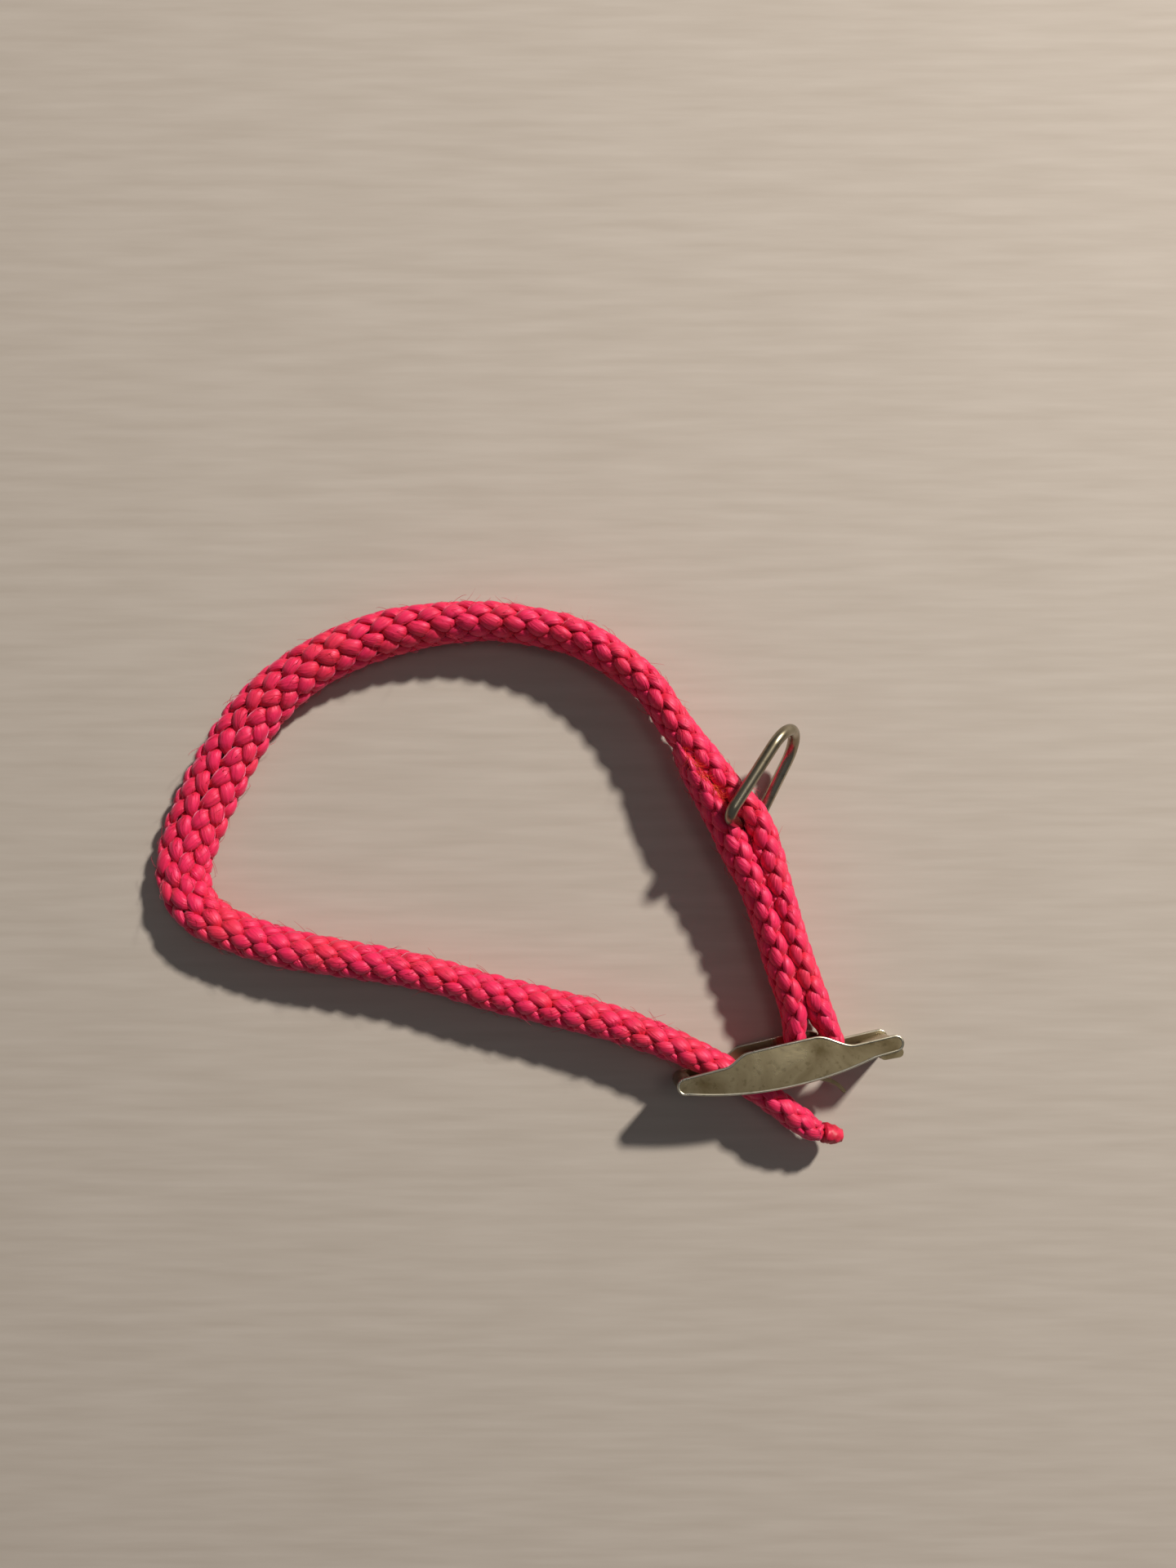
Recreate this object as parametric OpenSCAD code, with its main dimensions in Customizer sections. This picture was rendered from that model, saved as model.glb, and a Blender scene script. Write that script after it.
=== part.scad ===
// Short adjustable cord loop with a side-lying prong buckle and a D-ring.
// Millimetres, +Z up. The loop lies flat. The buckle lies on its lower cheek, and the origin is on
// that cheek's resting face, straight under the axis of the centre bar.

/* [Buckle] */
// Width of the buckle over both cheeks
buckle_w = 8.4; // [8.2:0.1:9]
// Thickness of each cheek
cheek_t = 0.8; // [0.6:0.1:0.9]
// Thickness of the curved front plate
plate_t = 0.8; // [0.6:0.1:1]
// How far the front plate stands proud of the cheeks' lower edge
rim_proud = 0.15; // [0.1:0.05:0.3]
// Radius of the centre bar
bar_r = 0.8; // [0.7:0.05:0.85]
// Angle of the buckle's long axis from +X, as it lies
buckle_turn = 10; // [8:0.5:12]

/* [Prong] */
// Width of the prong along the bar
prong_w = 1; // [0.8:0.1:1.1]
// Thickness of the prong at its root
prong_t = 0.58; // [0.5:0.02:0.6]

/* [D-ring] */
// Diameter of the ring's wire
ring_wire = 1.5; // [1.3:0.1:1.6]
// Width of the ring's eye along its straight side
ring_eye_w = 9.5; // [9:0.1:9.8]
// Depth of the ring from the straight side to the far end, between wire centres
ring_depth = 13.4; // [13:0.1:14.5]

/* [Cord] */
// Scale of the cord's cross-section
cord_swell = 1; // [0.9:0.02:1]
// Sides of the cord's swept tube
cord_sides = 10; // [8:1:12]

/* [Hidden] */
$fn = 48;
CORD_PINK = [0.93, 0.10, 0.32];
SEAL_RED = [0.72, 0.05, 0.15];
NICKEL = [0.55, 0.53, 0.42];

mid_z = buckle_w / 2;      // height of the cord and the prong where they pass the buckle
rim_inset = 0.25;          // the front plate and end bars stop short of the cheeks' outer faces
window_margin = 1.1;       // from the cheeks' outer faces to the front plate's window
window_u = [-15, 5];       // the window's ends along the buckle
seat_depth = 0.4;          // blind seats that hold the centre bar in the cheeks

// Front face of the buckle: one shallow arc, in the buckle's own axes, with the bar at [0, 0]
front_r = 45;
front_c = [-6.5, 41.7];
front_from = 256.4;
front_to = 286.4;
tip_c = [-17.3, -1.1];     // round left end
tip_r = 0.95;
nose_c = [8.95, -0.3];     // round right end
nose_r = 0.9;

// Fold of the cord round the bar
bar_gap = 0.08;            // running clearance of the cord and the prong's curl round the bar
fold_t = 2.7;              // thickness of the flattened cord in the fold's legs
fold_back_t = 1.8;         // thickness where the pull of the loop squeezes it against the bar
fold_h = 5.6 * cord_swell; // height of the flattened cord in the fold
fold_turn = 18;            // the doubled cord leaves the bar at 90 + fold_turn degrees
fold_leg = 2;              // straight legs of the fold beyond the bar's axis
fold_in = bar_r + bar_gap;
fold_out = fold_in + fold_t;
fold_mid = fold_in + fold_t / 2;
slot_h = prong_w + 0.3;    // gap in the braid that the prong swings in
slot_top = 0.8;            // how far the gap runs up beside the bar

// Prong's curl and shank
curl_r = 1.5;
curl_mid = (curl_r + bar_r + bar_gap) / 2;
prong_tip_t = 0.45;

// D-ring in its own plane: the straight side lies on the Y axis, the far end points along +X
ring_at = [-10, 28.1, 5.9];
ring_turn = 61;            // direction of the far end from +X
ring_tilt = 22;            // sideways lean of the straight side from upright
ring_lift = 4;             // rise of the far end from level
ring_corner = 1.4;         // bend radius at the ends of the straight side
ring_end_r = 4;            // bend radius of the far end
ring_half = (ring_eye_w + ring_wire) / 2;
corner_c = [ring_corner, ring_half - ring_corner];
end_c = [ring_depth - ring_end_r, 0];
// each leg leans towards the middle by the angle that makes it tangent to both bends
ring_taper = acos((ring_end_r - ring_corner) / norm(end_c - corner_c))
    - atan2(end_c[0] - corner_c[0], corner_c[1]);
wire_sides = 16;
hole_r = ring_wire / 2 + 0.1; // the cord closes round the ring's straight side with this radius

// Route of the cord: x, y, z of its middle, its width across and its height. Each list starts at
// an end of the fold. The loop runs up past the ring, round, and out through the buckle.
LOOP_ROUTE = [
    [-0.1, 5.5, 4.4, 3.6, 6.6],
    [-2.4, 11.5, 4.6, 3.6, 7],
    [-5.3, 21, 5, 3.6, 7],
    [-6.7, 25.3, 5.2, 4, 7],
    [-8, 29, 5.4, 3.6, 7],
    [-11, 32.5, 5.4, 3.6, 7],
    [-14.2, 36.3, 5.3, 3.9, 7],
    [-18.3, 41.5, 5, 4, 7],
    [-21, 45.5, 4.7, 4, 7],
    [-25, 49, 4.3, 4.3, 7],
    [-30, 52, 4, 4.5, 7],
    [-35.5, 53.5, 3.7, 4.5, 7],
    [-41.5, 54.3, 3.6, 4.6, 6.8],
    [-47.5, 54, 3.5, 5, 6.6],
    [-53.5, 53, 3.3, 5.6, 6.2],
    [-59.5, 51, 3.2, 5.8, 6],
    [-65.5, 47.8, 3, 6, 5.8],
    [-70.5, 43.5, 2.7, 6.6, 5.2],
    [-74.2, 38.3, 2.4, 7.2, 4.6],
    [-77.3, 32.5, 2.3, 7.4, 4.4],
    [-79.6, 27, 2.3, 7.2, 4.4],
    [-80.5, 22.5, 2.5, 6.8, 4.8],
    [-79.5, 19, 2.8, 6.2, 5.4],
    [-77, 16.5, 3, 5.6, 5.8],
    [-73.5, 14.8, 3.1, 5.2, 6],
    [-67, 12.8, 3.2, 5, 6.2],
    [-59, 11.4, 3.3, 4.6, 6.4],
    [-50, 9.8, 3.3, 4.4, 6.4],
    [-41, 7.2, 3.4, 4.5, 6.4],
    [-32, 5, 3.5, 4.6, 6.4],
    [-24, 2.8, 3.8, 4.3, 6.2],
    [-18, 0.5, 4.1, 3.9, 5.8],
    [-12, -2.3, 4.2, 3.7, 5.6],
    [-6.5, -5.6, 4.2, 3.7, 5.6],
    [-2.6, -8.6, 4.1, 3.6, 5.4],
    [-0.5, -10, 3.9, 3.5, 5],
    [0.8, -10.4, 3.9, 3, 4.6]
];
RETURN_ROUTE = [
    [-3.1, 5.5, 4.4, 3.5, 6.6],
    [-5, 11.5, 4.6, 3.6, 7],
    [-8, 20.5, 5, 3.6, 7],
    [-10.2, 25, 5.2, 4, 7],
    [-12.1, 28.5, 5.4, 3.5, 7],
    [-14.2, 32, 5.4, 2.9, 6.8],
    [-16.1, 35.2, 5.3, 2.4, 6.2],
    [-17.6, 38, 5.1, 1.4, 5.2]
];
// Heat-sealed end: it starts at the cord's cut face and closes in two steps
TIP_ROUTE = [
    [0.8, -10.4, 3.9, 3, 4.6],
    [2.2, -10.7, 3.8, 2.3, 3.6],
    [3.2, -10.8, 3.8, 1.5, 2.2]
];

// ---- helpers ----

function polar(r, a) = [r * cos(a), r * sin(a)];
// n + 1 points of an arc
function arc(c, r, a0, a1, n) = [for (i = [0 : n]) c + polar(r, a0 + (a1 - a0) * i / n)];
// A smooth S between two heights
function s_curve(p, q, n) = [
    for (i = [0 : n])
        let (t = i / n)
        [p[0] + (q[0] - p[0]) * t, p[1] + (q[1] - p[1]) * t * t * (3 - 2 * t)]
];
function unit(v) = v / norm(v);
function rot2(p, a) = [p[0] * cos(a) - p[1] * sin(a), p[0] * sin(a) + p[1] * cos(a)];
// End of the fold on its left (side = -1) or right (side = 1), as a point of a cord route
function fold_end(side) =
    let (p = rot2([side * fold_mid, fold_leg], fold_turn))
    [p[0], p[1], mid_z, fold_t, fold_h / cord_swell];
function place(p) = [p[0], p[1], p[2]];
function heading(route, i) =
    unit(place(route[min(i + 1, len(route) - 1)]) - place(route[max(i - 1, 0)]));
// One ring of the cord's tube: an ellipse square to the cord, its height along +Z as near as can be
function ring_points(p, dir) =
    let (across = unit(cross([0, 0, 1], dir)), up = cross(dir, across))
    [for (k = [0 : cord_sides - 1])
        let (a = 360 * (k + 0.5) / cord_sides)
        place(p) + cord_swell / 2 * (p[3] * cos(a) * across + p[4] * sin(a) * up)];

// A tube swept along a route, whose first ring faces start_dir
module cord_tube(route, start_dir) {
    n = len(route);
    rings = [for (i = [0 : n - 1]) ring_points(route[i], i == 0 ? start_dir : heading(route, i))];
    points = [for (ring = rings) for (p = ring) p];
    walls = [
        for (i = [0 : n - 2]) for (k = [0 : cord_sides - 1])
            let (a = i * cord_sides + k, b = i * cord_sides + (k + 1) % cord_sides)
            each [[a, b + cord_sides, b], [a, a + cord_sides, b + cord_sides]]
    ];
    first = [[for (k = [0 : cord_sides - 1]) k]];
    last = [[for (k = [0 : cord_sides - 1]) n * cord_sides - 1 - k]];
    polyhedron(points = points, faces = concat(walls, first, last));
}

module slab(height, centre_z) {
    translate([0, 0, centre_z - height / 2]) linear_extrude(height) children();
}

// A bar with round edges from p to q, drawn flat
module stadium(p, q, r) {
    translate(p) circle(r);
    translate(q) circle(r);
    translate(p) rotate(atan2(q[1] - p[1], q[0] - p[0])) translate([0, -r]) square([norm(q - p), 2 * r]);
}

// ---- cord ----

fold_dir = [cos(90 + fold_turn), sin(90 + fold_turn), 0];

// The main run: from the fold, past the ring, round the loop and out through the buckle
module cord_loop() {
    color(CORD_PINK) difference() {
        cord_tube(concat([fold_end(1)], LOOP_ROUTE), fold_dir);
        ring_hole();
    }
}

// The cord's end coming back from the fold and going into the main run beside the ring
module cord_return() {
    color(CORD_PINK) difference() {
        cord_tube(concat([fold_end(-1)], RETURN_ROUTE), fold_dir);
        ring_hole();
    }
}

// The cord bent round the centre bar, its braid parted where the prong swings
module cord_fold() {
    back = [for (a = [180 : 7.5 : 360]) [fold_out * cos(a), (fold_in + fold_back_t) * sin(a)]];
    color(CORD_PINK) rotate(fold_turn) difference() {
        slab(fold_h, mid_z) difference() {
            polygon(concat(back, [[fold_out, fold_leg], [-fold_out, fold_leg]]));
            circle(fold_in);
            translate([-fold_in, 0]) square([2 * fold_in, 2 * fold_leg]);
        }
        slab(slot_h, mid_z) {
            circle(curl_r + 0.15);
            translate([-2 * fold_out, slot_top - 2 * fold_out]) square([4 * fold_out, 2 * fold_out]);
        }
    }
}

// The melted and flattened end of the cord's tail
module cord_tip() {
    color(SEAL_RED) cord_tube(TIP_ROUTE, heading(concat([LOOP_ROUTE[len(LOOP_ROUTE) - 2]], TIP_ROUTE), 1));
}

// ---- buckle ----

// Outline of a cheek: shallow front, round ends, and an inner edge that steps up to a deep middle
module cheek_outline() {
    polygon(concat(
        arc(tip_c, tip_r, 90, 254, 10),
        arc(front_c, front_r, front_from, front_to, 24),
        arc(nose_c, nose_r, 270, 450, 12),
        [[6.5, 0.45]],
        s_curve([4, 0.3], [-0.6, 2.1], 10),
        [[-5, 1.9]],
        s_curve([-9, 1.65], [-12.2, 0.25], 8)
    ));
}

module cheek(z) {
    translate([0, 0, z]) linear_extrude(cheek_t) cheek_outline();
}

// The curved plate that joins the cheeks in front, open over the whole window
module front_plate() {
    outer = front_r + rim_proud;
    difference() {
        slab(buckle_w - 2 * rim_inset, mid_z)
            polygon(concat(
                arc(front_c, outer, front_from, front_to, 24),
                arc(front_c, outer - plate_t, front_to, front_from, 24)
            ));
        translate([window_u[0], -5, window_margin])
            cube([window_u[1] - window_u[0], 10, buckle_w - 2 * window_margin]);
    }
}

// Left end bar, and the rolled bar at the right end that the prong rests on
module end_bars() {
    slab(buckle_w - 2 * rim_inset, mid_z) {
        translate(tip_c) circle(tip_r + rim_proud);
        stadium([7.45, -1.5], [9.15, -1.48], 0.62);
        stadium([6.4, -0.85], [9, -0.4], 0.7);
    }
}

module buckle_frame() {
    color(NICKEL) rotate(buckle_turn) difference() {
        union() {
            cheek(0);
            cheek(buckle_w - cheek_t);
            front_plate();
            end_bars();
        }
        slab(buckle_w - 2 * seat_depth, mid_z) circle(bar_r);
    }
}

module centre_bar() {
    color(NICKEL) slab(buckle_w - 2 * seat_depth, mid_z) circle(bar_r);
}

// Middle line of the prong's shank: out of the curl, a bend to the right, and a hooked tip
bend_r = 1.55;
hook_r = 3.8;
shank_start = polar(curl_mid, 190);
bend_c = shank_start + polar(2.1, -80) + polar(bend_r, 10);
hook_c = bend_c + polar(bend_r + hook_r, -95);
SHANK = concat(
    [shank_start],
    arc(bend_c, bend_r, 190, 265, 8),
    arc(hook_c, hook_r, 79, 35, 8)
);

function shank_side(i, side) =
    let (
        a = SHANK[max(i - 1, 0)],
        b = SHANK[min(i + 1, len(SHANK) - 1)],
        t = (b - a) / norm(b - a),
        half = (prong_t + (prong_tip_t - prong_t) * i / (len(SHANK) - 1)) / 2
    )
    SHANK[i] + side * half * [-t[1], t[0]];

module prong() {
    last = len(SHANK) - 1;
    point = SHANK[last] + prong_tip_t / 2 * unit(SHANK[last] - SHANK[last - 1]);
    color(NICKEL) difference() {
        union() {
            slab(prong_w, mid_z) circle(curl_r);
            slab(prong_w, mid_z) polygon(concat(
                [for (i = [0 : last]) shank_side(i, 1)],
                [point],
                [for (i = [last : -1 : 0]) shank_side(i, -1)]
            ));
        }
        slab(2 * prong_w, mid_z) circle(bar_r + bar_gap);
    }
}

// ---- D-ring ----

// Carries the ring's plane to where the ring lies
module at_ring() {
    translate(ring_at) rotate([90, 0, ring_turn]) rotate([-ring_tilt, 0, ring_lift]) children();
}

module ring_hole() {
    at_ring() rotate([90, 0, 0]) cylinder(r = hole_r, h = 2 * ring_half, center = true);
}

// Middle line of the wire: half of it from the middle of the straight side, then the mirrored half
RING_HALF = concat(
    [[0, 0]],
    arc(corner_c, ring_corner, 180, 90 - ring_taper, 6),
    arc(end_c, ring_end_r, 90 - ring_taper, 0, 10)
);
RING_PATH = concat(RING_HALF, [for (i = [len(RING_HALF) - 2 : -1 : 1]) [RING_HALF[i][0], -RING_HALF[i][1]]]);

// A round wire bent along a closed flat path
module wire_loop(path, wire) {
    n = len(path);
    points = [
        for (i = [0 : n - 1])
            let (along = unit(path[(i + 1) % n] - path[(i + n - 1) % n]))
            for (k = [0 : wire_sides - 1])
                let (a = 360 * k / wire_sides, out = wire / 2 * cos(a) * [along[1], -along[0]])
                [path[i][0] + out[0], path[i][1] + out[1], wire / 2 * sin(a)]
    ];
    walls = [
        for (i = [0 : n - 1]) for (k = [0 : wire_sides - 1])
            let (
                a = i * wire_sides + k,
                b = i * wire_sides + (k + 1) % wire_sides,
                c = (i + 1) % n * wire_sides + k,
                d = (i + 1) % n * wire_sides + (k + 1) % wire_sides
            )
            each [[a, b, d], [a, d, c]]
    ];
    polyhedron(points = points, faces = walls);
}

module d_ring() {
    color(NICKEL) at_ring() wire_loop(RING_PATH, ring_wire);
}

cord_loop();
cord_fold();
cord_return();
cord_tip();
buckle_frame();
centre_bar();
prong();
d_ring();
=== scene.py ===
import math
import random

import bpy
import numpy as np
from mathutils import Matrix, Vector


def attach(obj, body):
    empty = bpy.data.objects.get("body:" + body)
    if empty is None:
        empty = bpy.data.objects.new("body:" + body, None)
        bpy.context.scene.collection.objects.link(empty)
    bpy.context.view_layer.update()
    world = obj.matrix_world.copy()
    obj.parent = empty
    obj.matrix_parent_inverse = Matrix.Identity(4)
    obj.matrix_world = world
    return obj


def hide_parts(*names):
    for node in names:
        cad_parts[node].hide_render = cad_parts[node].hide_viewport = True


# Lengths are in millimetres, and MM turns them into Blender's metres.
MM = 0.001
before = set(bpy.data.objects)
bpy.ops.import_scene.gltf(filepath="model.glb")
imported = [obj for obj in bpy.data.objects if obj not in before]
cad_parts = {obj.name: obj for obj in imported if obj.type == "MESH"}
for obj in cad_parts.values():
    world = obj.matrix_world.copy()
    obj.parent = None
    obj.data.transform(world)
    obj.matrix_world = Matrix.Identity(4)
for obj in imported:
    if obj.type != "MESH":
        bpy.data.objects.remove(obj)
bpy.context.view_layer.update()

# ---- camera: straight down, its lens shifted to frame the object as the photograph does ----

CAMERA_AT = (-28.9, 15.6, 153)
VIEW_LENGTH = 203.5  # what the long side of the image covers on the floor
VIEW_OFFSET = 18.5  # how far the image's middle is above the point under the camera
SENSOR = 36

camera = bpy.data.objects.new("camera", bpy.data.cameras.new("camera"))
camera.location = Vector(CAMERA_AT) * MM
camera.data.sensor_width = SENSOR
camera.data.lens = SENSOR * CAMERA_AT[2] / VIEW_LENGTH
camera.data.shift_y = VIEW_OFFSET / VIEW_LENGTH
camera.data.clip_start = 0.01
bpy.context.collection.objects.link(camera)
bpy.context.scene.camera = camera

# ---- the cord's route, as in part.scad: x, y, z of its middle, its width across, its height ----

LOOP_ROUTE = [
    [-0.1, 5.5, 4.4, 3.6, 6.6],
    [-2.4, 11.5, 4.6, 3.6, 7],
    [-5.3, 21, 5, 3.6, 7],
    [-6.7, 25.3, 5.2, 4, 7],
    [-8, 29, 5.4, 3.6, 7],
    [-11, 32.5, 5.4, 3.6, 7],
    [-14.2, 36.3, 5.3, 3.9, 7],
    [-18.3, 41.5, 5, 4, 7],
    [-21, 45.5, 4.7, 4, 7],
    [-25, 49, 4.3, 4.3, 7],
    [-30, 52, 4, 4.5, 7],
    [-35.5, 53.5, 3.7, 4.5, 7],
    [-41.5, 54.3, 3.6, 4.6, 6.8],
    [-47.5, 54, 3.5, 5, 6.6],
    [-53.5, 53, 3.3, 5.6, 6.2],
    [-59.5, 51, 3.2, 5.8, 6],
    [-65.5, 47.8, 3, 6, 5.8],
    [-70.5, 43.5, 2.7, 6.6, 5.2],
    [-74.2, 38.3, 2.4, 7.2, 4.6],
    [-77.3, 32.5, 2.3, 7.4, 4.4],
    [-79.6, 27, 2.3, 7.2, 4.4],
    [-80.5, 22.5, 2.5, 6.8, 4.8],
    [-79.5, 19, 2.8, 6.2, 5.4],
    [-77, 16.5, 3, 5.6, 5.8],
    [-73.5, 14.8, 3.1, 5.2, 6],
    [-67, 12.8, 3.2, 5, 6.2],
    [-59, 11.4, 3.3, 4.6, 6.4],
    [-50, 9.8, 3.3, 4.4, 6.4],
    [-41, 7.2, 3.4, 4.5, 6.4],
    [-32, 5, 3.5, 4.6, 6.4],
    [-24, 2.8, 3.8, 4.3, 6.2],
    [-18, 0.5, 4.1, 3.9, 5.8],
    [-12, -2.3, 4.2, 3.7, 5.6],
    [-6.5, -5.6, 4.2, 3.7, 5.6],
    [-2.6, -8.6, 4.1, 3.6, 5.4],
    [-0.5, -10, 3.9, 3.5, 5],
    [0.8, -10.4, 3.9, 3, 4.6],
]
RETURN_ROUTE = [
    [-3.1, 5.5, 4.4, 3.5, 6.6],
    [-5, 11.5, 4.6, 3.6, 7],
    [-8, 20.5, 5, 3.6, 7],
    [-10.2, 25, 5.2, 4, 7],
    [-12.1, 28.5, 5.4, 3.5, 7],
    [-14.2, 32, 5.4, 2.9, 6.8],
    [-16.1, 35.2, 5.3, 2.4, 6.2],
    [-17.6, 38, 5.1, 1.4, 5.2],
]
TIP_ROUTE = [
    [0.8, -10.4, 3.9, 3, 4.6],
    [2.2, -10.7, 3.8, 2.3, 3.6],
    [3.2, -10.8, 3.8, 1.5, 2.2],
]
FOLD_TURN = 18  # the doubled cord leaves the bar at 90 + FOLD_TURN degrees
FOLD_Z = 4.2
FOLD_HEIGHT = 5.6
FOLD_T = 2.7  # thickness of the flattened cord in the fold's legs
FOLD_BACK_T = 1.8  # thickness where the pull of the loop squeezes it against the bar
FOLD_IN = 0.88  # inner radius of the fold
FOLD_MID = FOLD_IN + FOLD_T / 2
FOLD_LEG = 2  # how far the legs run beyond the bar's axis
FOLD_BEND = 0.3  # how far beyond the bar's axis they start to bend
FOLD_CORNER = (1.55, -1.25)  # middle of the cord half way from a leg to the back
FOLD_CORNER_T = 2.1
CURVE_STEPS = 24  # points of the smoothed curve from one row of a route to the next


def turned(x, y, degrees):
    a = math.radians(degrees)
    return x * math.cos(a) - y * math.sin(a), x * math.sin(a) + y * math.cos(a)


def fold_points():
    """The half ring round the centre bar, from its left leg to its right leg."""
    left = [
        (-FOLD_MID, FOLD_LEG, FOLD_T),
        (-FOLD_MID, FOLD_BEND, FOLD_T),
        (-FOLD_CORNER[0], FOLD_CORNER[1], FOLD_CORNER_T),
    ]
    back = [(0, -FOLD_IN - FOLD_BACK_T / 2, FOLD_BACK_T)]
    right = [(-x, y, thick) for x, y, thick in reversed(left)]
    return [[*turned(x, y, FOLD_TURN), FOLD_Z, thick, FOLD_HEIGHT] for x, y, thick in left + back + right]


def running(points):
    """Length along a line of points, from its first point to each of them."""
    return np.concatenate([[0], np.cumsum(np.linalg.norm(np.diff(points, axis=0), axis=1))])


def blend(t, first, last, low, high):
    """From low at t = first to high at t = last, and straight on beyond them."""
    return (last - t) / (last - first) * low + (t - first) / (last - first) * high


def smooth(route, step):
    """Catmull-Rom curve through the rows of route, resampled at equal steps of its length."""
    rows = np.array(route, float)
    rows = np.vstack([2 * rows[0] - rows[1], rows, 2 * rows[-1] - rows[-2]])
    gaps = np.linalg.norm(np.diff(rows[:, :3], axis=0), axis=1)
    knots = np.concatenate([[0], np.cumsum(gaps**0.5)])
    curve = []
    for i in range(1, len(rows) - 2):
        t = np.linspace(knots[i], knots[i + 1], CURVE_STEPS, endpoint=False)[:, None]
        k = knots[i - 1 : i + 3]
        level = list(rows[i - 1 : i + 3])
        for reach in (1, 2):
            level = [blend(t, k[j], k[j + reach], level[j], level[j + 1]) for j in range(4 - reach)]
        curve.append(blend(t, k[1], k[2], level[0], level[1]))
    curve = np.vstack([*curve, rows[-2:-1]])
    along = running(curve[:, :3])
    wanted = np.linspace(0, along[-1], round(along[-1] / step) + 1)
    return wanted, np.column_stack([np.interp(wanted, along, column) for column in curve.T])


def unit(vectors):
    return vectors / np.linalg.norm(vectors, axis=1)[:, None]


def frames(points):
    """Unit tangent, sideways and upward directions along a route that never points straight up."""
    tangent = unit(np.gradient(points, axis=0))
    side = unit(np.cross([0, 0, 1], tangent))
    return tangent, side, np.cross(tangent, side)


# ---- mesh helpers ----


def new_object(name, vertices, faces, material, body):
    """A smooth-shaded mesh of vertices in metres, riding on a body of the frame."""
    mesh = bpy.data.meshes.new(name)
    mesh.from_pydata([tuple(v) for v in vertices], [], [tuple(f) for f in faces])
    mesh.update()
    mesh.shade_smooth()
    mesh.materials.append(material)
    obj = bpy.data.objects.new(name, mesh)
    bpy.context.collection.objects.link(obj)
    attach(obj, body)
    return obj


def tube_faces(rings, sides, start=0):
    """Quads of a tube of rings x sides vertices, and the two faces that close its ends."""
    faces = []
    for i in range(rings - 1):
        for k in range(sides):
            a = start + i * sides + k
            b = start + i * sides + (k + 1) % sides
            faces.append((a, b, b + sides, a + sides))
    faces.append(tuple(start + k for k in reversed(range(sides))))
    last = start + (rings - 1) * sides
    faces.append(tuple(last + k for k in range(sides)))
    return faces


def closed_tube(line, radius, sides):
    """A round tube along a closed line of [x, y] points in the plane z = 0."""
    along = unit(np.roll(line, -1, axis=0) - np.roll(line, 1, axis=0))
    vertices = []
    for (x, y), (u, v) in zip(line, along):
        for k in range(sides):
            a = 2 * math.pi * k / sides
            out = radius * math.cos(a)
            vertices.append(Vector((x + out * v, y - out * u, radius * math.sin(a))))
    count = len(line)
    faces = []
    for i in range(count):
        here = i * sides
        there = (i + 1) % count * sides
        for k in range(sides):
            after = (k + 1) % sides
            faces.append((here + k, here + after, there + after, there + k))
    return vertices, faces


# ---- node helpers ----


def node_material(name, **settings):
    """A material, its node tree and its shader, whose sockets are set by name: sheen_weight=0.4."""
    material = bpy.data.materials.new(name)
    material.use_nodes = True
    tree = material.node_tree
    shader = tree.nodes["Principled BSDF"]
    sockets = {socket.name.lower().replace(" ", "_"): socket for socket in shader.inputs}
    for key, value in settings.items():
        sockets[key].default_value = value
    return material, tree, shader


def add_node(tree, kind, **values):
    node = tree.nodes.new(kind)
    for key, value in values.items():
        setattr(node, key, value)
    return node


def object_place(tree):
    return add_node(tree, "ShaderNodeTexCoord").outputs["Object"]


def grey(level):
    return (level, level, level)


def ramp(tree, factor, *stops):
    """A colour ramp driven by factor, with (position, colour) stops."""
    node = add_node(tree, "ShaderNodeValToRGB")
    elements = node.color_ramp.elements
    while len(elements) < len(stops):
        elements.new(0.5)
    for element, (position, colour) in zip(elements, stops):
        element.position = position
        element.color = (*colour, 1)
    tree.links.new(factor, node.inputs[0])
    return node.outputs[0]


def multiplied(tree, amount, first, second):
    """The colour first, multiplied by second as far as amount says."""
    node = add_node(tree, "ShaderNodeMix", data_type="RGBA", blend_type="MULTIPLY")
    node.inputs[0].default_value = amount
    tree.links.new(first, node.inputs[6])
    tree.links.new(second, node.inputs[7])
    return node.outputs[2]


def noise(tree, vector, scale, detail=3.0, distortion=0.0):
    node = add_node(tree, "ShaderNodeTexNoise")
    node.inputs["Scale"].default_value = scale
    node.inputs["Detail"].default_value = detail
    node.inputs["Distortion"].default_value = distortion
    tree.links.new(vector, node.inputs["Vector"])
    return node.outputs["Fac"]


def mapped(tree, vector, scale):
    node = add_node(tree, "ShaderNodeMapping")
    node.inputs["Scale"].default_value = scale
    tree.links.new(vector, node.inputs["Vector"])
    return node.outputs["Vector"]


def bump(tree, height, strength, distance, normal=None):
    node = add_node(tree, "ShaderNodeBump")
    node.inputs["Strength"].default_value = strength
    node.inputs["Distance"].default_value = distance
    tree.links.new(height, node.inputs["Height"])
    if normal is not None:
        tree.links.new(normal, node.inputs["Normal"])
    return node.outputs["Normal"]


# ---- materials ----


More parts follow.
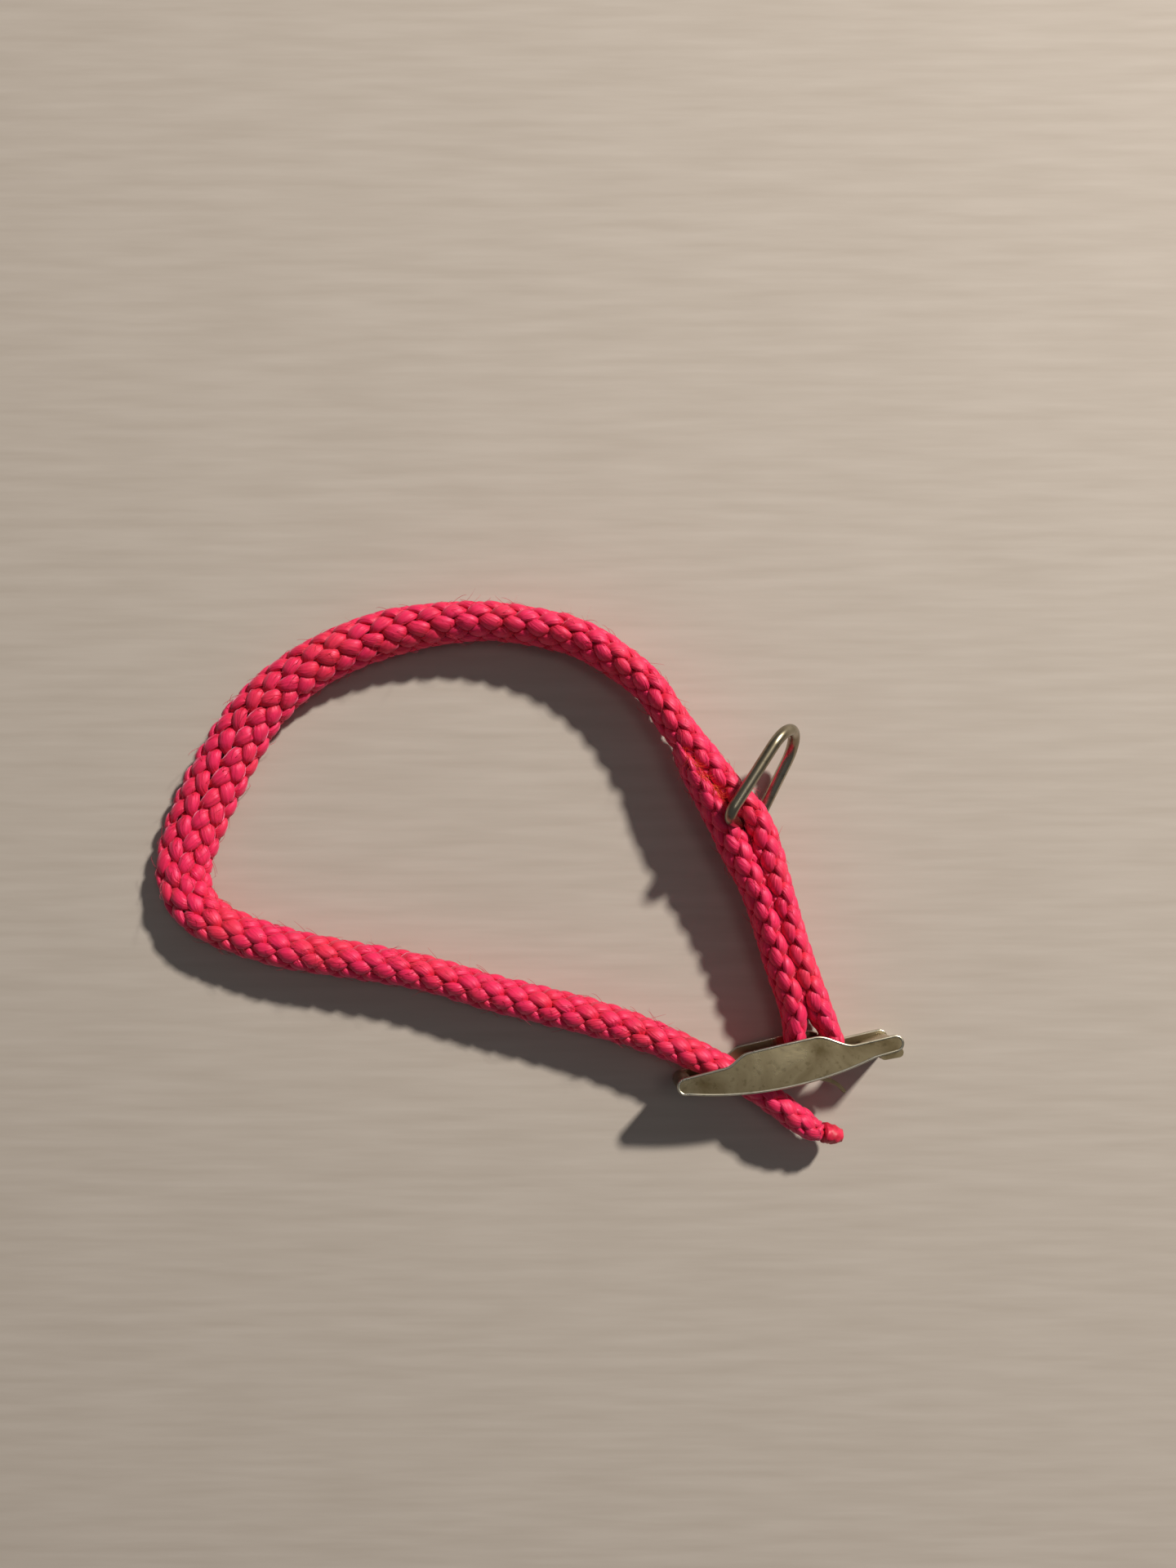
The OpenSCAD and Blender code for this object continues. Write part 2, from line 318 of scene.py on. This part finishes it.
def cord_material():
    """Glossy pink nylon yarn: fine filaments along each strand, with painted shade that darkens a strand
    where it dives under the others.
    """
    material, tree, shader = node_material(
        "cord_nylon",
        subsurface_weight=0.3,
        subsurface_radius=(0.0014, 0.0003, 0.0005),
        subsurface_scale=1.0,
        specular_ior_level=0.6,
        specular_tint=(1.0, 0.62, 0.85, 1),
        sheen_weight=0.4,
        sheen_roughness=0.4,
        sheen_tint=(1.0, 0.45, 0.65, 1),
    )
    lift = add_node(tree, "ShaderNodeAttribute", attribute_name="lift").outputs["Fac"]
    uv = add_node(tree, "ShaderNodeUVMap", uv_map="strand").outputs["UV"]
    filaments = noise(tree, mapped(tree, uv, (18, 0.5, 1)), 1.0, 2.0)
    patches = noise(tree, object_place(tree), 170)
    # painted shade: the colour ramp over lift runs from the full pink on top down to a dark red where a
    # strand dives under, standing in for the shade in the braid's crevices
    under, between, on_top = (0.58, 0.005, 0.026), (0.78, 0.013, 0.062), (0.90, 0.026, 0.125)
    pink = ramp(tree, lift, (0.0, under), (0.4, between), (1.0, on_top))
    streaks = ramp(tree, filaments, (0.30, (0.70, 0.62, 0.62)), (0.62, grey(1.0)))
    warmth = ramp(tree, patches, (0.42, (1.0, 0.9, 0.95)), (0.66, (1.0, 1.35, 0.75)))
    colour = multiplied(tree, 1.0, multiplied(tree, 0.75, pink, streaks), warmth)
    rough = ramp(tree, filaments, (0.3, grey(0.60)), (0.7, grey(0.42)))
    tree.links.new(colour, shader.inputs["Base Color"])
    tree.links.new(rough, shader.inputs["Roughness"])
    tree.links.new(bump(tree, filaments, 0.7, 0.0002), shader.inputs["Normal"])
    return material


def melted_material():
    """The cord's end, melted into a hard dark red bead."""
    material, tree, shader = node_material("melted_nylon", roughness=0.5)
    lumps = noise(tree, object_place(tree), 900, 4.0, 0.4)
    colour = ramp(tree, lumps, (0.3, (0.50, 0.008, 0.030)), (0.7, (0.80, 0.022, 0.085)))
    tree.links.new(colour, shader.inputs["Base Color"])
    tree.links.new(bump(tree, lumps, 0.4, 0.0003), shader.inputs["Normal"])
    return material


def fibre_material():
    """Bare orange-red filaments at the splice."""
    material, tree, shader = node_material("bare_filaments", roughness=0.4)
    patches = noise(tree, object_place(tree), 700)
    colour = ramp(tree, patches, (0.35, (0.75, 0.02, 0.02)), (0.65, (0.95, 0.16, 0.03)))
    tree.links.new(colour, shader.inputs["Base Color"])
    return material


def nickel_material(name, dull, bright, pit_strength):
    """Tarnished nickel plate: soft olive patches, small dark pits and brighter rubbed places."""
    material, tree, shader = node_material(name, metallic=1.0)
    place = object_place(tree)
    patches = noise(tree, place, 190, 5.0, 0.6)
    pits = noise(tree, place, 1300, 4.0)
    scratches = noise(tree, mapped(tree, place, (500, 3500, 2500)), 1.0, 2.0)
    plate = ramp(tree, patches, (0.32, dull), (0.68, bright))
    spots = ramp(tree, pits, (0.33, (0.34, 0.31, 0.24)), (0.43, grey(1.0)))
    rough = ramp(tree, patches, (0.3, grey(0.38)), (0.7, grey(0.22)))
    scratched = bump(tree, scratches, 0.08, 0.00003)
    pitted = bump(tree, pits, 0.08, 0.00003, scratched)
    tree.links.new(multiplied(tree, pit_strength, plate, spots), shader.inputs["Base Color"])
    tree.links.new(rough, shader.inputs["Roughness"])
    tree.links.new(pitted, shader.inputs["Normal"])
    return material


CORD = cord_material()
MELTED = melted_material()
SEAM_ORANGE = fibre_material()
PLATE = nickel_material("tarnished_nickel", (0.20, 0.15, 0.075), (0.52, 0.43, 0.26), 0.35)
# rubbed bright nickel for the cheek rims; its extra brightness is also a painted highlight along the
# cheeks' edges
RIM_WITH_PAINTED_HIGHLIGHT = nickel_material("rubbed_nickel", (0.62, 0.57, 0.43), (0.80, 0.76, 0.64), 0.3)
WIRE = nickel_material("ring_nickel", (0.24, 0.20, 0.13), (0.46, 0.42, 0.32), 0.35)
BRONZE = nickel_material("dark_nickel", (0.13, 0.09, 0.045), (0.28, 0.21, 0.12), 0.35)

# ---- the braid ----

STRANDS = 10
FLOAT_PITCH = 3.05  # from one visible float to the next along a column
STEP = 0.1  # between the rows of the smoothed route
PER_FLOAT = 12  # rings of a strand from one of its floats to the next
STRAND_SIDES = 8
STRETCH = 0.72  # how strongly a strand's advance along the cord is moved to its visible part
SLANT = 0.42  # how strongly its sideways travel is moved to its hidden part
STAY = 1.5  # how firmly a float stays on top before it dives
TABLE = 256  # places round the cord that a strand may be at
RELIEF = 0.35  # floats stand proud of the plain tube's sides by half of this
WINDOW_AT = (-4, -3)  # middle of the buckle's window, where the floats are pressed flat
WINDOW_R = 6
MELT_REACH = 3.5  # length of cord that is drawn in by the melted tip
MELT_DRAW = 0.24  # share of its width that is lost at the end
PLUMP_BASE = 0.14  # half thickness of a float, apart from
PLUMP_SHARE = 0.20  # what it gains with the cord's smaller half width
PLUMP = (0.38, 0.56)  # least and greatest half thickness of a float
DIVE_SHARE = 0.32  # how deep a strand dives, as a share of the cord's smaller half width
DIVE = (0.4, 0.65)  # least and greatest depth that it dives to
CORE = 0.12  # share of the cord's half width that no strand's middle goes inside
SIDE_WANDER = 0.006  # unevenness of a strand's place, as a share of the way round
SIZE_WANDER = 0.05  # unevenness of its size
NARROW = 0.54  # half width of a strand where it is narrowest
BELLY = 0.47  # what it gains at its widest
BELLY_LEAD = 0.5  # radians of its phase by which the widest place comes before the float's middle
SQUEEZED = 0.60  # share of its thickness that a strand keeps where it is under


def ellipse_table(across, tall):
    """Angles of an ellipse at equal steps of its perimeter, with the first one repeated at the end."""
    angles = np.linspace(0, 2 * np.pi, 4 * TABLE + 1)
    run = running(np.column_stack([across / 2 * np.cos(angles), tall / 2 * np.sin(angles)]))
    return np.interp(np.linspace(0, run[-1], TABLE + 1), run, angles)


def wander(rng, count, mean, spread):
    """count values that drift smoothly about mean, with a new random target at every float."""
    targets = rng.normal(mean, spread, count // PER_FLOAT + 2)
    return np.interp(np.arange(count) / PER_FLOAT, np.arange(len(targets)), targets)


def strand_course(strand, total):
    """Length along the cord, phase and share of the way round, at each ring of a strand. The phase
    is a multiple of 2 pi in the middle of each float. Even and odd strands turn opposite ways."""
    hand = 1 if strand % 2 == 0 else -1
    offset = 0 if hand > 0 else 0.5
    floats = np.arange(-1, total / FLOAT_PITCH + 1, 1 / PER_FLOAT)
    wave = np.sin(2 * np.pi * floats) / (2 * np.pi)
    along = FLOAT_PITCH * (floats + offset + STRETCH * wave)
    inside = (along >= 0) & (along <= total)
    turns = hand * (floats + offset - SLANT * wave) * 2 / STRANDS
    share = strand // 2 * 2 / STRANDS + turns
    return along[inside], 2 * np.pi * floats[inside], share[inside]


def strand_uv(along):
    """Corner coordinates of one strand's faces: x round the strand, y along it in millimetres."""
    corners = []
    for low, high in zip(along[:-1], along[1:]):
        for k in range(STRAND_SIDES):
            left = k / STRAND_SIDES
            right = (k + 1) / STRAND_SIDES
            corners += [left, low, right, low, right, high, left, high]
    end_caps = [0.0] * (4 * STRAND_SIDES)
    return corners + end_caps


def around(angle, x_size, y_size, side, up):
    """Vectors x_size * cos(angle) along side plus y_size * sin(angle) along up."""
    return (x_size * np.cos(angle))[..., None] * side + (y_size * np.sin(angle))[..., None] * up


def braid(route_points, name, seed):
    """Interlaced strands along a route of [x, y, z, across, tall] rows. Each strand runs over and
    under the strands of the other hand. On top it lies nearly along the cord as a long plump float,
    and it makes most of its sideways travel underneath, so the floats stand in staggered columns."""
    rng = np.random.default_rng(seed)
    run, rows = smooth(route_points, STEP)
    _, side, up = frames(rows[:, :3])
    tables = np.array([ellipse_table(row[3], row[4]) for row in rows])
    ring_turns = 2 * np.pi * np.arange(STRAND_SIDES) / STRAND_SIDES
    vertices, faces, lifts, uvs = [], [], [], []
    start = 0
    for strand in range(STRANDS):
        # where the strand is, and how near the surface: lift is 1 on top and 0 underneath
        along, phase, share = strand_course(strand, run[-1])
        count = len(along)
        at = np.round(along / STEP).astype(int).clip(0, len(run) - 1)
        share += wander(rng, count, 0, SIDE_WANDER)
        size = wander(rng, count, 1, SIZE_WANDER)
        angle = tables[at, np.round(share % 1 * TABLE).astype(int)]
        lift = (np.tanh(STAY * np.cos(phase)) / math.tanh(STAY) + 1) / 2

        # the cord's size there, and the smaller ellipse that the strand's middle lies on
        row = rows[at]
        closing = 1 - MELT_DRAW * (1 - np.clip((run[-1] - along) / MELT_REACH, 0, 1))
        free = np.clip(np.linalg.norm(row[:, :2] - WINDOW_AT, axis=1) / WINDOW_R - 1, 0, 1)
        half_w = (row[:, 3] + RELIEF * free) / 2 * closing
        half_h = row[:, 4] / 2 * closing
        thinner = np.minimum(half_w, half_h)
        plump = np.clip(PLUMP_SHARE * thinner + PLUMP_BASE, *PLUMP)
        depth = plump + np.clip(DIVE_SHARE * thinner, *DIVE) * (1 - lift)
        inner_w = np.maximum(half_w - depth, CORE * half_w)
        inner_h = np.maximum(half_h - depth, CORE * half_h)

        # the strand's own elliptical rings
        middle = np.column_stack([np.interp(along, run, rows[:, c]) for c in range(3)])
        centre = middle + around(angle, inner_w, inner_h, side[at], up[at])
        normal = unit(around(angle, 1 / half_w, 1 / half_h, side[at], up[at]))
        forward = unit(np.gradient(centre, axis=0))
        across = unit(np.cross(forward, normal))
        belly = (1 + np.cos(phase + BELLY_LEAD)) / 2
        wide = (NARROW + BELLY * belly) * size * closing
        thick = plump * (SQUEEZED + (1 - SQUEEZED) * lift) * size
        section = around(
            ring_turns[None, :], wide[:, None], thick[:, None], across[:, None, :], normal[:, None, :]
        )
        vertices.append((centre[:, None, :] + section).reshape(-1, 3))
        faces += tube_faces(count, STRAND_SIDES, start)
        start += count * STRAND_SIDES
        lifts.append(np.repeat(lift, STRAND_SIDES))
        uvs.append(strand_uv(along))
    obj = new_object(name, np.vstack(vertices) * MM, faces, CORD, "cord")
    lift_of = obj.data.attributes.new("lift", "FLOAT", "POINT")
    lift_of.data.foreach_set("value", np.concatenate(lifts).astype(np.float32))
    layer = obj.data.uv_layers.new(name="strand")
    layer.data.foreach_set("uv", np.concatenate(uvs).astype(np.float32))
    return obj, rows


CORD_POINTS = RETURN_ROUTE[::-1] + fold_points() + LOOP_ROUTE
cord, cord_rows = braid(CORD_POINTS, "braided_cord", 7)
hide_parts("cord_loop", "cord_fold", "cord_return")

# ---- the cord's melted end ----

TIP_START = [2.5, 3.9]  # the bead's width and height where it starts, inside the braid
TIP_STEP = 0.18
TIP_SIDES = 20
TIP_SWELL = 1.02
LUMPS = 5  # round the bead
LUMP_TURN = 0.9  # radians that they turn from one ring to the next
LUMP_SIZE = 0.05
GRAIN = 0.03


def sealed_end():
    """The melted bead: a lumpy closed skin over the tip's route."""
    rng = random.Random(3)
    inside = [LOOP_ROUTE[-1][:3] + TIP_START]
    _, rows = smooth(inside + TIP_ROUTE[1:], TIP_STEP)
    rows[:, 3:] *= TIP_SWELL
    _, side, up = frames(rows[:, :3])
    vertices = []
    for i, row in enumerate(rows):
        for k in range(TIP_SIDES):
            a = 2 * math.pi * k / TIP_SIDES
            lump = 1 + LUMP_SIZE * math.sin(LUMPS * a + i * LUMP_TURN) + rng.uniform(-GRAIN, GRAIN)
            offset = row[3] / 2 * math.cos(a) * side[i] + row[4] / 2 * math.sin(a) * up[i]
            vertices.append((row[:3] + offset * lump) * MM)
    return new_object("sealed_end", vertices, tube_faces(len(rows), TIP_SIDES), MELTED, "cord")


tip = sealed_end()
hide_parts("cord_tip")

# ---- metal pieces that keep their CAD shape ----

SHARP = math.radians(40)  # edges that turn by more than this get a bevel


def dress(node, material, bevel=None):
    """Give a CAD node its material, and soften its edges by a bevel of this width."""
    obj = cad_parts[node]
    obj.data.materials.clear()
    obj.data.materials.append(material)
    if bevel:
        edge = obj.modifiers.new("soft_edges", "BEVEL")
        edge.width = bevel * MM
        edge.segments = 2
        edge.limit_method = "ANGLE"
        edge.angle_limit = SHARP


dress("buckle_frame", PLATE, 0.16)
dress("centre_bar", WIRE)
dress("prong", BRONZE, 0.1)

# ---- the rims of the buckle's cheeks, rubbed bright and with a painted highlight ----

BUCKLE_W = 8.4
RIM_R = 0.17
RIM_SIDES = 10
FLAT = 0.01  # how far a flat face's corners may be off its height


def face_outline(node, height):
    """The closed outline of a node's flat face at this height, as [x, y] points in millimetres."""
    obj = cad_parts[node]
    spots = [obj.matrix_world @ v.co / MM for v in obj.data.vertices]
    uses = {}
    for polygon in obj.data.polygons:
        if all(abs(spots[i].z - height) < FLAT for i in polygon.vertices):
            keys = [(round(spots[i].x, 3), round(spots[i].y, 3)) for i in polygon.vertices]
            for edge in zip(keys, keys[1:] + keys[:1]):
                uses[frozenset(edge)] = uses.get(frozenset(edge), 0) + 1
    follow = {}
    for edge, count in uses.items():
        if count == 1 and len(edge) == 2:
            a, b = edge
            follow.setdefault(a, []).append(b)
            follow.setdefault(b, []).append(a)
    line = [min(follow)]
    while True:
        onward = [p for p in follow[line[-1]] if p not in line]
        if not onward:
            return np.array(line)
        line.append(onward[0])


def cheek_rims():
    """A thin rolled edge round the outer face of each cheek. The lower one stays above the floor,
    and the upper one stands out of its cheek by half its radius."""
    vertices, faces = [], []
    for height, lift in ((0, RIM_R), (BUCKLE_W, -0.5 * RIM_R)):
        tube, quads = closed_tube(face_outline("buckle_frame", height), RIM_R, RIM_SIDES)
        faces += [tuple(len(vertices) + i for i in quad) for quad in quads]
        vertices += [(v + Vector((0, 0, height + lift))) * MM for v in tube]
    # the rims' bright colour is partly rubbed wear and partly a painted highlight
    return new_object("cheek_rims", vertices, faces, RIM_WITH_PAINTED_HIGHLIGHT, "buckle")


rims = cheek_rims()

# ---- the D-ring, its wire round and smooth along the same middle line as in part.scad ----

RING_AT = (-10, 28.1, 5.9)
RING_TURN = 61  # direction of the far end from +X
RING_TILT = 22  # sideways lean of the straight side from upright
RING_LIFT = 4  # rise of the far end from level
RING_WIRE = 1.5
WIRE_SIDES = 28
RING_HALF = 5.5
RING_DEPTH = 13.4
RING_CORNER = 1.4  # bend radius at the ends of the straight side
RING_END_R = 4  # bend radius of the far end
CORNER_POINTS = 14  # of the middle line round one corner
END_POINTS = 28  # of the middle line round half of the far end


def arc(centre, radius, start, stop, count):
    angles = np.radians(np.linspace(start, stop, count))
    return [[centre[0] + radius * math.cos(a), centre[1] + radius * math.sin(a)] for a in angles]


def ring_line():
    """The wire's closed middle line, in the ring's own plane."""
    corner = (RING_CORNER, RING_HALF - RING_CORNER)
    end = (RING_DEPTH - RING_END_R, 0)
    dx = end[0] - corner[0]
    dy = corner[1]
    taper = math.degrees(math.acos((RING_END_R - RING_CORNER) / math.hypot(dx, dy)) - math.atan2(dx, dy))
    near = arc(corner, RING_CORNER, 180, 90 - taper, CORNER_POINTS)
    far = arc(end, RING_END_R, 90 - taper, 0, END_POINTS)
    leg = np.linspace(near[-1], far[0], 5)[1:-1].tolist()
    straight = [[0, 0], [0, 1.5], [0, 3]]
    half = straight + near + leg + far
    return np.array(half + [[x, -y] for x, y in half[-2:0:-1]])


def d_ring():
    place = (
        Matrix.Translation(Vector(RING_AT))
        @ Matrix.Rotation(math.radians(RING_TURN), 4, "Z")
        @ Matrix.Rotation(math.radians(90), 4, "X")
        @ Matrix.Rotation(math.radians(RING_LIFT), 4, "Z")
        @ Matrix.Rotation(math.radians(-RING_TILT), 4, "X")
    )
    vertices, faces = closed_tube(ring_line(), RING_WIRE / 2, WIRE_SIDES)
    return new_object("wire_d_ring", [(place @ v) * MM for v in vertices], faces, WIRE, "ring")


ring = d_ring()
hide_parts("d_ring")

# ---- stray filaments that stand off the braid ----

HAIR_R = 0.035
HAIR_RINGS = 6
HAIR_CORNERS = ((1, 0), (0, 1), (-1, 0), (0, -1))
HAIR_TAPER = 0.6  # share of its thickness and of its stand that a hair loses towards its end
HAIR_LAG = 0.3  # share of its run along the cord that it loses towards its end
HAIR_CLEARANCE = 0.1  # a hair stays this far above the floor
HAIR_ROOT = 0.45  # its root's place, as a share of the cord's width and height
HAIRS = 900
HAIR_LENGTH = (0.8, 3.2)
HAIR_STAND = (0.25, 0.9)
HAIR_CURL = 0.5
CLEAR_OF_BUCKLE = 17  # no hairs this close to the centre bar, where the buckle moves
BELOW_LEVEL = 0.5  # radians below the cord's sides that hairs still grow at

SEAM = [(-17.9, 38.6, 7.3), (-15.9, 35.6, 8.2), (-13.6, 32.8, 8.6), (-11.6, 30.4, 8.5)]
SEAM_FIBRES = 90
SEAM_SPREAD = (0.22, 0.22, 0.132)
SEAM_TANGLE = 0.5
SEAM_LENGTH = (0.8, 2.0)
SEAM_STAND = 0.3
SEAM_CURL = 0.8


def add_hair(vertices, faces, root, way, out, length, stand, curl):
    """One thin closed tube from root, running along way, standing off along out and curling."""
    cross = np.cross(way, out)
    start = len(vertices)
    for r in range(HAIR_RINGS):
        t = r / (HAIR_RINGS - 1)
        slim = 1 - HAIR_TAPER * t
        bow = way * (1 - HAIR_LAG * t) + stand * slim * out + curl * t * cross
        point = root + length * t * bow
        point[2] = max(point[2], HAIR_CLEARANCE)
        for dx, dy in HAIR_CORNERS:
            vertices.append((point + HAIR_R * slim * (dx * cross + dy * out)) * MM)
    faces += tube_faces(HAIR_RINGS, len(HAIR_CORNERS), start)


def stray_filaments():
    """Short curved hairs that start inside the braid, all along the cord."""
    rng = np.random.default_rng(11)
    tangent, side, up = frames(cord_rows[:, :3])
    loose = np.flatnonzero(np.linalg.norm(cord_rows[:, :2], axis=1) > CLEAR_OF_BUCKLE)
    vertices, faces = [], []
    for _ in range(HAIRS):
        i = int(rng.choice(loose))
        a = rng.uniform(-BELOW_LEVEL, math.pi + BELOW_LEVEL)
        row = cord_rows[i]
        out = math.cos(a) * side[i] + math.sin(a) * up[i]
        root = row[:3] + HAIR_ROOT * (row[3] * math.cos(a) * side[i] + row[4] * math.sin(a) * up[i])
        way = tangent[i] * rng.choice([-1, 1])
        length = rng.uniform(*HAIR_LENGTH)
        stand = rng.uniform(*HAIR_STAND)
        add_hair(vertices, faces, root, way, out, length, stand, rng.normal(0, HAIR_CURL))
    return new_object("stray_filaments", vertices, faces, CORD, "cord")


def seam_fibres():
    """Bare melted filaments along the line where the cord's end joins the main run."""
    rng = np.random.default_rng(5)
    line = np.array(SEAM)
    upward = np.array((0, 0, 1.0))
    vertices, faces = [], []
    for _ in range(SEAM_FIBRES):
        at = rng.uniform(0, len(line) - 1.001)
        i = int(at)
        way = line[i + 1] - line[i]
        root = line[i] + (at - i) * way + rng.normal(0, 1, 3) * SEAM_SPREAD
        way = unit(way[None, :] + rng.normal(0, SEAM_TANGLE, (1, 3)))[0]
        length = rng.uniform(*SEAM_LENGTH)
        add_hair(vertices, faces, root, way, upward, length, SEAM_STAND, rng.normal(0, SEAM_CURL))
    return new_object("seam_fibres", vertices, faces, SEAM_ORANGE, "cord")


for hairs in (stray_filaments(), seam_fibres()):
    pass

# ---- floor and light ----

FLOOR_HALF = 3.0
LIGHTS_TO = Vector((-34, 20, 0)) * MM  # the middle of the object
KEY_FROM = Vector((0.52, 0.54, 0.60))
SOFT_FROM = Vector((0.15, 0.02, 0.55))
WORLD_COLOUR = (0.95, 0.95, 1.0, 1)
WORLD_STRENGTH = 0.10


def floor_material():
    """Pale cream board with a faint grain."""
    material, tree, shader = node_material("pale_floor", roughness=0.8)
    grain = noise(tree, mapped(tree, object_place(tree), (60, 700, 1)), 1.0, 4.0)
    colour = ramp(tree, grain, (0.3, (0.45, 0.40, 0.35)), (0.7, (0.50, 0.45, 0.40)))
    tree.links.new(colour, shader.inputs["Base Color"])
    return material


floor_mesh = bpy.data.meshes.new("floor")
corners = [(x * FLOOR_HALF, y * FLOOR_HALF, 0) for x, y in ((-1, -1), (1, -1), (1, 1), (-1, 1))]
floor_mesh.from_pydata(corners, [], [(0, 1, 2, 3)])
floor_mesh.materials.append(floor_material())
floor = bpy.data.objects.new("floor", floor_mesh)
bpy.context.collection.objects.link(floor)


def area_light(name, away, size, power, colour):
    """A square light at LIGHTS_TO + away, turned towards LIGHTS_TO."""
    light = bpy.data.lights.new(name, "AREA")
    light.size = size
    light.energy = power
    light.color = colour
    obj = bpy.data.objects.new(name, light)
    obj.location = LIGHTS_TO + away
    obj.rotation_euler = (-away).to_track_quat("-Z", "Y").to_euler()
    bpy.context.collection.objects.link(obj)


area_light("key", KEY_FROM, size=0.07, power=11.6, colour=(1.0, 0.93, 0.84))
area_light("soft_box", SOFT_FROM, size=0.14, power=0.13, colour=(1.0, 0.97, 0.92))

world = bpy.data.worlds.new("world")
world.use_nodes = True
background = world.node_tree.nodes["Background"]
background.inputs["Color"].default_value = WORLD_COLOUR
background.inputs["Strength"].default_value = WORLD_STRENGTH
bpy.context.scene.world = world
bpy.context.scene.view_settings.view_transform = "Standard"
